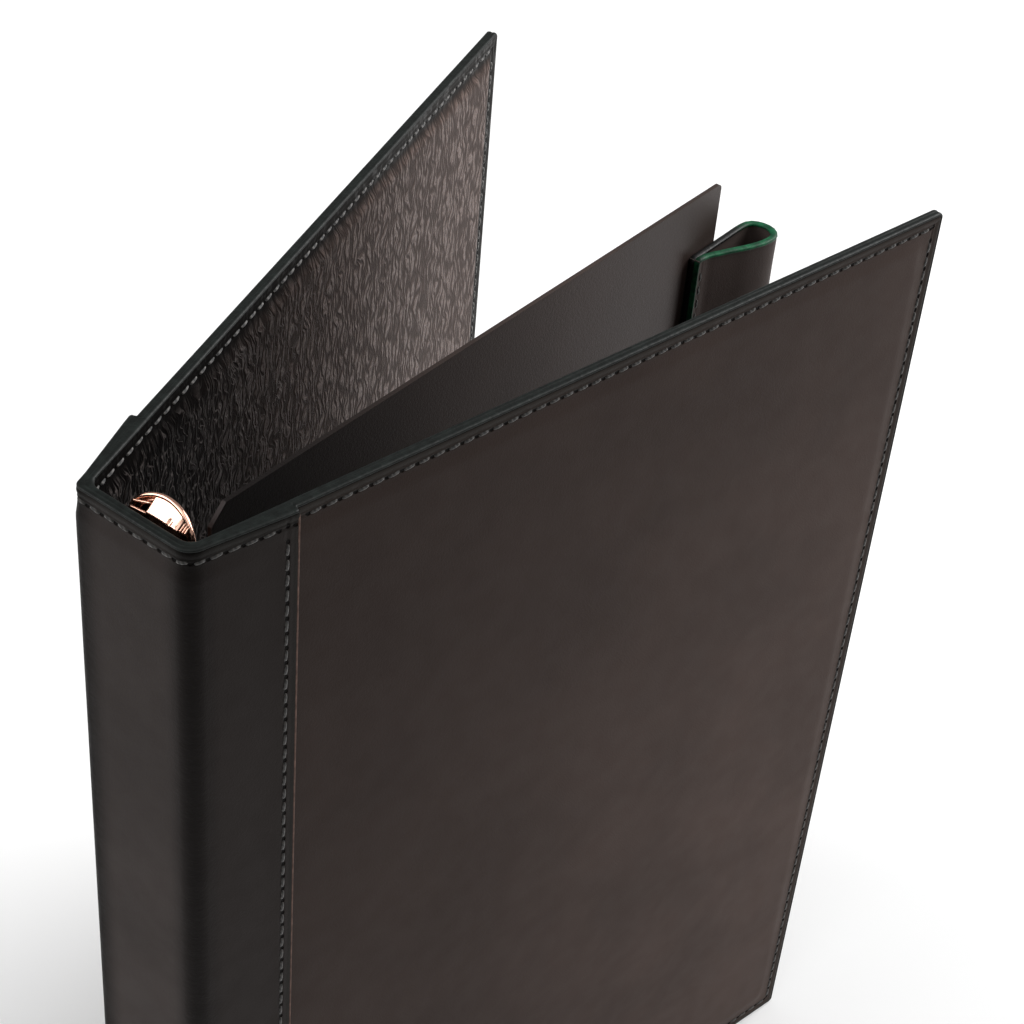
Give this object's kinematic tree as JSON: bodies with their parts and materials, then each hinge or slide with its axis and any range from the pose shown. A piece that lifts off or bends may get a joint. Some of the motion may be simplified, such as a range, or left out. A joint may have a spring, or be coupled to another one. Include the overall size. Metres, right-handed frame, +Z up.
{
  "type": "ring binder portfolio case",
  "caption": "Leather ring binder case with a rounded spine, two stiff covers, a copper-coloured ring mechanism, a hanging divider and a pen loop.",
  "frame": {"origin": "middle of the spine leather's foot, on the surface the case stands on", "axes": "+X across the spine towards the front cover, +Y from the spine into the binder, +Z up along the spine"},
  "size_m": [0.1125, 0.1804, 0.24],
  "materials": {
    "cover_leather": "smooth black-brown hide, satin",
    "lining_leather": "coarse grained black hide, semi-gloss",
    "board": "grey binder's board",
    "divider": "thin stiff bonded leather sheet, matt",
    "pen_loop_leather": "smooth black-brown hide, green painted edge",
    "ring_metal": "polished, copper-coloured plating",
    "rivet_metal": "polished, copper-coloured plating"
  },
  "bodies": {
    "spine": {"spine_leather": "cover_leather", "spine_board": "board", "spine_lining": "lining_leather", "ring_casing": "ring_metal", "casing_rivets": "rivet_metal", "top_lever_pin": "rivet_metal", "bottom_lever_pin": "rivet_metal"},
    "front_cover": {"front_strip_leather": "cover_leather", "front_cover_leather": "cover_leather", "front_cover_board": "board", "front_cover_lining": "lining_leather"},
    "back_cover": {"back_strip_leather": "cover_leather", "back_cover_leather": "cover_leather", "back_cover_board": "board", "back_cover_lining": "lining_leather"},
    "right_ring_set": {"right_blade": "ring_metal", "right_rings": "ring_metal"},
    "left_ring_set": {"left_blade": "ring_metal", "left_rings": "ring_metal"},
    "top_lever": {"top_lever": "ring_metal"},
    "bottom_lever": {"bottom_lever": "ring_metal"},
    "divider": {"divider_sheet": "divider", "pen_loop": "pen_loop_leather"}
  },
  "joints": [
    {"name": "front_cover_hinge", "type": "hinge", "parent": "spine", "child": "front_cover", "pos_m": [0.0124, 0.00025, 0.12], "axis": [0, 0, -1], "range_deg": [-9.74, 80.26]},
    {"name": "back_cover_hinge", "type": "hinge", "parent": "spine", "child": "back_cover", "pos_m": [-0.0124, 0.00025, 0.12], "axis": [0, 0, 1], "range_deg": [-17.8, 72.2]},
    {"name": "right_ring_hinge", "type": "hinge", "parent": "spine", "child": "right_ring_set", "pos_m": [0.0059, 0.00525, 0.12], "axis": [0, 0, -1], "range_deg": [0, 10]},
    {"name": "left_ring_hinge", "type": "hinge", "parent": "spine", "child": "left_ring_set", "pos_m": [-0.0059, 0.00525, 0.12], "axis": [0, 0, 1], "range_deg": [0, 10]},
    {"name": "top_lever_hinge", "type": "hinge", "parent": "spine", "child": "top_lever", "pos_m": [0, 0.0049, 0.2265], "axis": [1, 0, 0], "range_deg": [0, 12]},
    {"name": "bottom_lever_hinge", "type": "hinge", "parent": "spine", "child": "bottom_lever", "pos_m": [0, 0.0049, 0.0135], "axis": [-1, 0, 0], "range_deg": [0, 12]},
    {"name": "divider_hinge", "type": "hinge", "parent": "spine", "child": "divider", "pos_m": [0.00384, 0.01798, 0.12], "axis": [0, 0, -1], "range_deg": [-4, 33]}
  ],
  "couplings": [
    {"joint": "left_ring_hinge", "follows": "right_ring_hinge", "ratio": 1},
    {"joint": "top_lever_hinge", "follows": "right_ring_hinge", "ratio": 1.2},
    {"joint": "bottom_lever_hinge", "follows": "right_ring_hinge", "ratio": 1.2},
    {"joint": "divider_hinge", "follows": "front_cover_hinge", "ratio": 0.4}
  ]
}
